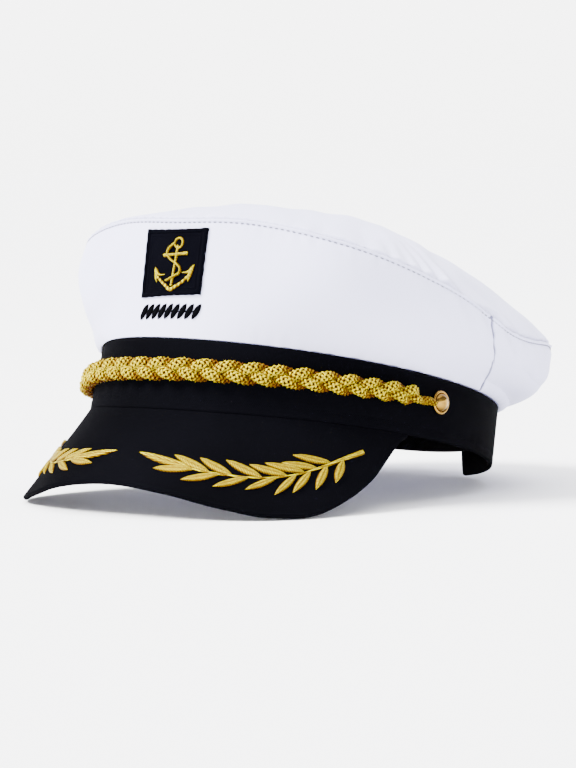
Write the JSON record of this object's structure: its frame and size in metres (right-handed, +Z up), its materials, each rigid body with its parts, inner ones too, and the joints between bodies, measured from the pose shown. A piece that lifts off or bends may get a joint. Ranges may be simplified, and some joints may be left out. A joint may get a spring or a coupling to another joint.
{
  "type": "captain hat",
  "caption": "Captain's cap with a soft white crown, black band and peak, gold braid held by dome buttons, and gold anchor and laurel embroidery.",
  "frame": {"origin": "centre of the bounding box at the level of the surface that the cap rests on", "axes": "+Z up, +Y towards the back of the cap, +X towards the wearer's left"},
  "size_m": [0.2082, 0.2614, 0.1335],
  "materials": {
    "white_cloth": "white brushed twill",
    "black_cloth": "black cotton twill",
    "strap_webbing": "black woven webbing",
    "navy_thread": "dark navy satin embroidery",
    "black_thread": "black satin embroidery",
    "gold_thread": "gold embroidery thread and knitted cord",
    "gold_metal": "polished gold plate"
  },
  "bodies": {
    "root": {"crown_front_panel": "white_cloth", "crown_back_panel": "white_cloth", "crown_top_panel": "white_cloth", "headband": "black_cloth", "adjuster_strap": "strap_webbing", "peak": "black_cloth", "braid": "gold_thread", "button_left": "gold_metal", "button_right": "gold_metal", "badge_patch": "navy_thread", "anchor": "gold_thread", "rope_bar": "black_thread", "sprig_left": "gold_thread", "sprig_right": "gold_thread"}
  },
  "joints": []
}
